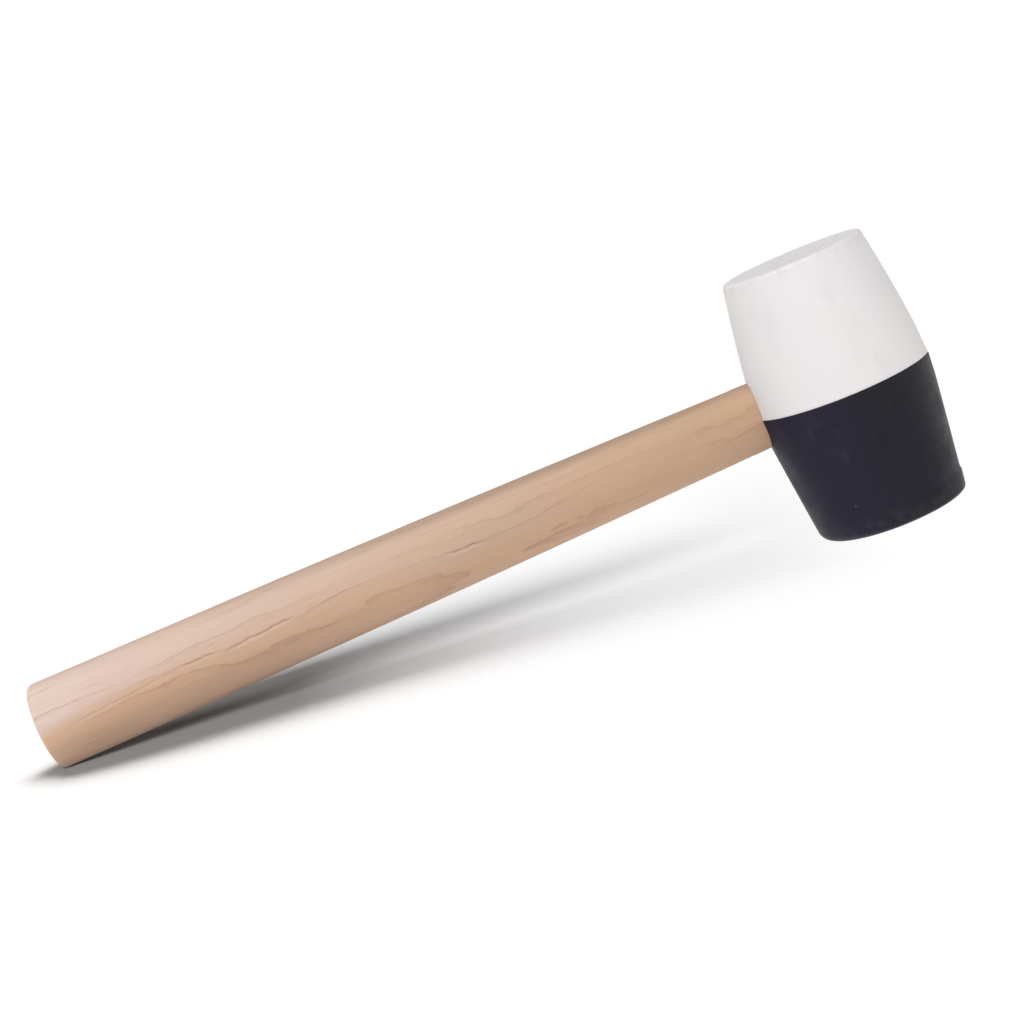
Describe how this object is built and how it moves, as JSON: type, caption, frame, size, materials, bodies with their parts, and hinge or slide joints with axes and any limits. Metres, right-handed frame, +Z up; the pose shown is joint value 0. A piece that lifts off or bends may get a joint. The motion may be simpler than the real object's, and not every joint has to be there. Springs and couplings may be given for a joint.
{
  "type": "rubber mallet",
  "caption": "Rubber mallet with a barrel-shaped head, one end white rubber and the other black, on a tapered oval hardwood handle wedged through its eye.",
  "frame": {"origin": "bottom centre of the mallet's bounding box as it lies on a bench, resting on the rim of its black striking face and on the lower edge of its handle's butt", "axes": "+Z up from the bench; +X from the handle's butt towards the head; +Y across the mallet. The handle rises 6.2 degrees from the butt to the head, and the head's axis leans back over the handle by the same angle"},
  "size_m": [0.3296, 0.062, 0.099],
  "materials": {
    "white_rubber": "off-white moulded rubber, matte with a faint sheen",
    "black_rubber": "black moulded rubber, satin",
    "handle_wood": "pale hardwood, sanded and unvarnished, with darker grain streaks",
    "wedge_wood": "raw hardwood",
    "wedge_steel": "bare steel, slightly dull"
  },
  "bodies": {
    "root": {"white_head_half": "white_rubber", "black_head_half": "black_rubber", "handle": "handle_wood", "wooden_wedge": "wedge_wood", "steel_wedge": "wedge_steel"}
  },
  "joints": []
}
